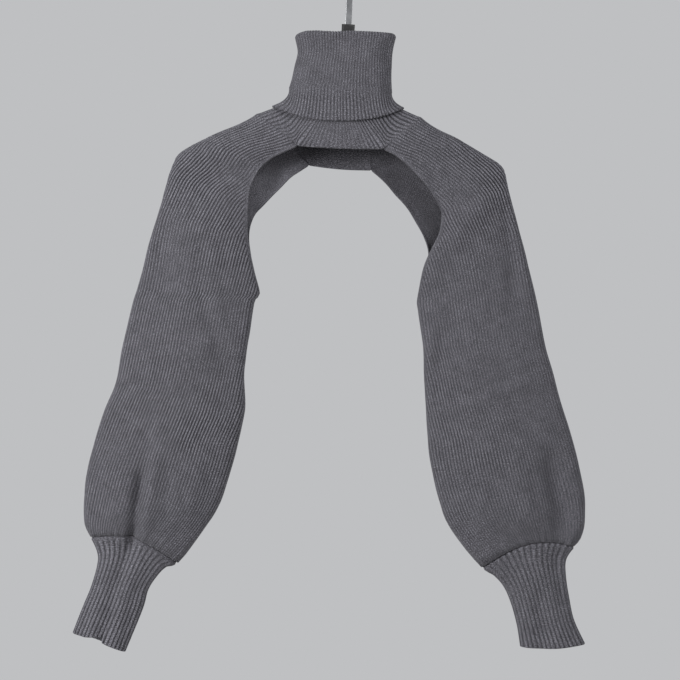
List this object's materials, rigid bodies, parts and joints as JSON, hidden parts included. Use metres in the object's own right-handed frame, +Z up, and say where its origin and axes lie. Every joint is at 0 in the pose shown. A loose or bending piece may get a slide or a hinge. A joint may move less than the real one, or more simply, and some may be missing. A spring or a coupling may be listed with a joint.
{
  "type": "turtleneck shrug sweater on a clothes hanger",
  "caption": "Rib-knit turtleneck shrug with a turned-down collar, short yoke and long balloon sleeves with ribbed cuffs, hanging on a slim hanger with a flat hook.",
  "frame": {"origin": "inside of the hook's crown, where a rail carries the hanger", "axes": "+Z up, the garment's front faces -Y, and +X is to the right as seen from the front"},
  "size_m": [0.6271, 0.0567, 0.8582],
  "materials": {
    "knit": "heather mid-grey fine rib knit, soft and matt",
    "hanger_plastic": "black, matt",
    "hook_steel": "satin plated steel strip"
  },
  "bodies": {
    "root": {"collar": "knit", "yoke": "knit", "sleeve_left": "knit", "sleeve_right": "knit", "cuff_left": "knit", "cuff_right": "knit", "hanger_body": "hanger_plastic", "hanger_hook": "hook_steel"}
  },
  "joints": []
}
